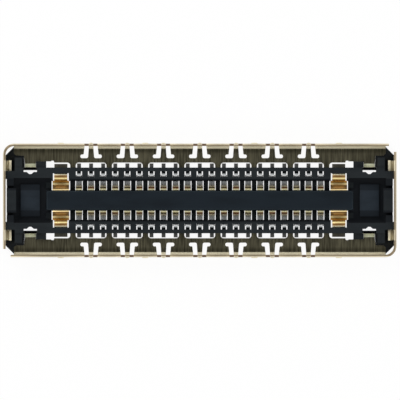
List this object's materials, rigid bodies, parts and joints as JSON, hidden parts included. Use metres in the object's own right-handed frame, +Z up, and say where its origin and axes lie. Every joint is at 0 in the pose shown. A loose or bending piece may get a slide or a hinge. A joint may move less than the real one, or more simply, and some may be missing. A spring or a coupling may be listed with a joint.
{
  "type": "board-to-fpc connector receptacle",
  "caption": "Flat rectangular shielded board-to-FPC connector: black housing with a centre island in a ring groove, rows of formed contacts, and a stamped metal shell round it.",
  "frame": {"origin": "centre of the bounding box's underside, on the circuit board's surface", "axes": "+X along the contact rows, +Y across them, +Z up out of the board, towards the mating half"},
  "size_m": [0.0114, 0.0034, 0.0006],
  "materials": {
    "housing_resin": "matte",
    "shield_plate": "brushed, warm nickel-gold plating",
    "contact_plate": "satin plating",
    "power_gold": "gold plating"
  },
  "bodies": {
    "root": {"housing": "housing_resin", "shield_shell_back": "shield_plate", "shield_shell_front": "shield_plate", "power_contact_back_01": "power_gold", "power_contact_back_02": "power_gold", "power_contact_front_01": "power_gold", "power_contact_front_02": "power_gold", "signal_contact_back_01": "contact_plate", "signal_contact_back_02": "contact_plate", "signal_contact_back_03": "contact_plate", "signal_contact_back_04": "contact_plate", "signal_contact_back_05": "contact_plate", "signal_contact_back_06": "contact_plate", "signal_contact_back_07": "contact_plate", "signal_contact_back_08": "contact_plate", "signal_contact_back_09": "contact_plate", "signal_contact_back_10": "contact_plate", "signal_contact_back_11": "contact_plate", "signal_contact_back_12": "contact_plate", "signal_contact_back_13": "contact_plate", "signal_contact_back_14": "contact_plate", "signal_contact_back_15": "contact_plate", "signal_contact_back_16": "contact_plate", "signal_contact_back_17": "contact_plate", "signal_contact_back_18": "contact_plate", "signal_contact_back_19": "contact_plate", "signal_contact_back_20": "contact_plate", "signal_contact_back_21": "contact_plate", "signal_contact_front_01": "contact_plate", "signal_contact_front_02": "contact_plate", "signal_contact_front_03": "contact_plate", "signal_contact_front_04": "contact_plate", "signal_contact_front_05": "contact_plate", "signal_contact_front_06": "contact_plate", "signal_contact_front_07": "contact_plate", "signal_contact_front_08": "contact_plate", "signal_contact_front_09": "contact_plate", "signal_contact_front_10": "contact_plate", "signal_contact_front_11": "contact_plate", "signal_contact_front_12": "contact_plate", "signal_contact_front_13": "contact_plate", "signal_contact_front_14": "contact_plate", "signal_contact_front_15": "contact_plate", "signal_contact_front_16": "contact_plate", "signal_contact_front_17": "contact_plate", "signal_contact_front_18": "contact_plate", "signal_contact_front_19": "contact_plate", "signal_contact_front_20": "contact_plate", "signal_contact_front_21": "contact_plate"}
  },
  "joints": []
}
